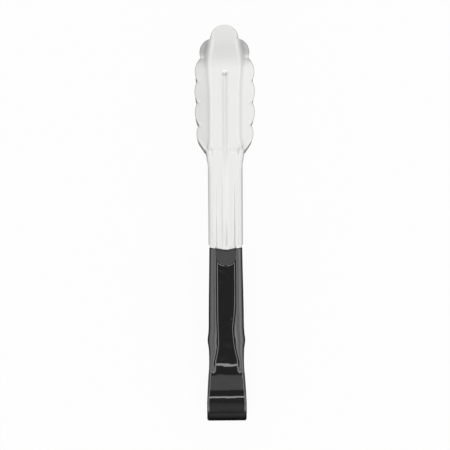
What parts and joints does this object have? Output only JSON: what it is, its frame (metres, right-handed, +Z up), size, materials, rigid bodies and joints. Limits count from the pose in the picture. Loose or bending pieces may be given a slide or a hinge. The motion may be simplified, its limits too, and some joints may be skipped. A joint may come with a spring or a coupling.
{
  "type": "serving tongs",
  "caption": "Scalloped utility tongs formed from a single steel strip, with a keyhole bow at the tail as the return spring and a dipped vinyl skin over bow and handles.",
  "frame": {"origin": "centre of the bow, on the axis the arms turn about", "axes": "X across the arms, +Y from the bow towards the heads, +Z up with the tongs lying on the bow and the lower head"},
  "size_m": [0.0362, 0.2412, 0.0722],
  "materials": {
    "satin_steel": "satin stainless steel, fine lengthwise grain",
    "black_vinyl": "glossy dipped black vinyl"
  },
  "bodies": {
    "lower_arm": {"lower_arm": "satin_steel", "lower_grip": "black_vinyl", "spring_bow": "satin_steel", "bow_sleeve": "black_vinyl"},
    "upper_arm": {"upper_arm": "satin_steel", "upper_grip": "black_vinyl"}
  },
  "joints": [
    {"name": "squeeze", "type": "hinge", "parent": "lower_arm", "child": "upper_arm", "pos_m": [0, 0, 0], "axis": [-1, 0, 0], "range_deg": [0, 14.7], "stiffness_Nm_per_rad": 3, "springref_deg": -1.49, "deforming": ["spring_bow", "bow_sleeve"]}
  ]
}
